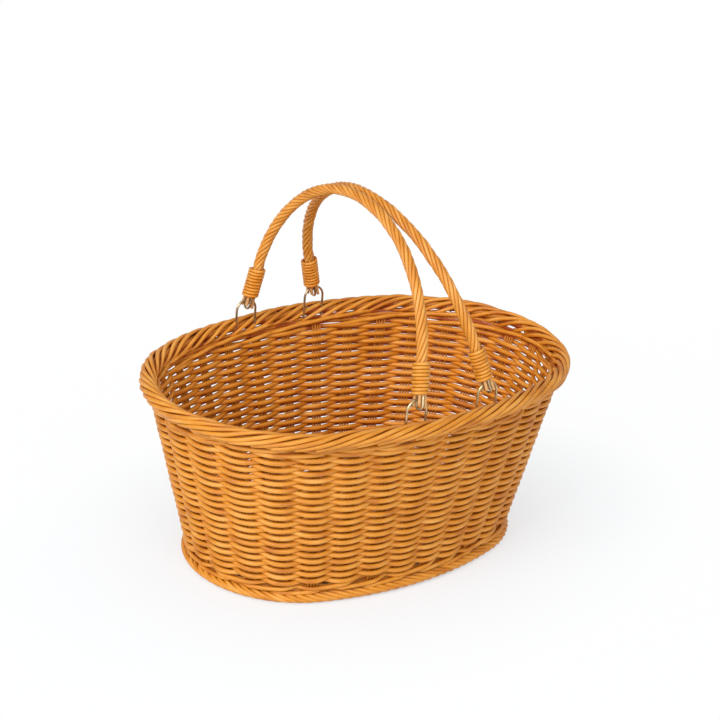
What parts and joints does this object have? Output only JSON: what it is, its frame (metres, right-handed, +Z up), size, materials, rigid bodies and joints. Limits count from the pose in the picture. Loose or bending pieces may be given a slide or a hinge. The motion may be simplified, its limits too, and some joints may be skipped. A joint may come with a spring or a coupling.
{
  "type": "shopping basket",
  "caption": "Oval woven shopping basket with a leaning wall, a rounded border and a pair of twisted cane handles hinged in wire loops on its rim.",
  "frame": {"origin": "centre of the flat underside, on the surface that the basket stands on", "axes": "+X along the oval's length towards the right handle's side, +Y across the oval towards the back, +Z up out of the mouth"},
  "size_m": [0.42, 0.289, 0.3351],
  "materials": {
    "weaving_cane": "satin, honey-brown round cane",
    "stake_cane": "satin, honey-brown round cane, a little darker",
    "handle_cane": "satin, twisted honey-brown cane",
    "cut_cane": "matt cut ends of cane",
    "brass_wire": "dull, slightly tarnished wire"
  },
  "bodies": {
    "basket": {"foot_border": "weaving_cane", "base_weave": "weaving_cane", "base_long_sticks": "stake_cane", "base_cross_sticks": "stake_cane", "lower_wale": "weaving_cane", "side_weave": "weaving_cane", "upper_wale": "weaving_cane", "top_border": "weaving_cane", "stakes_right": "stake_cane", "stakes_back": "stake_cane", "stakes_left": "stake_cane", "stakes_front": "stake_cane", "rim_loops": "brass_wire"},
    "left_handle": {"left_cane": "handle_cane", "left_cane_ends": "cut_cane", "left_eyes": "brass_wire", "left_whippings": "weaving_cane"},
    "right_handle": {"right_cane": "handle_cane", "right_cane_ends": "cut_cane", "right_eyes": "brass_wire", "right_whippings": "weaving_cane"}
  },
  "joints": [
    {"name": "left_handle_hinge", "type": "hinge", "parent": "basket", "child": "left_handle", "pos_m": [-0.039, 0, 0.1883], "axis": [0, -1, 0], "range_deg": [0, 103.45]},
    {"name": "right_handle_hinge", "type": "hinge", "parent": "basket", "child": "right_handle", "pos_m": [0.039, 0, 0.1883], "axis": [0, 1, 0], "range_deg": [0, 103.45]}
  ]
}
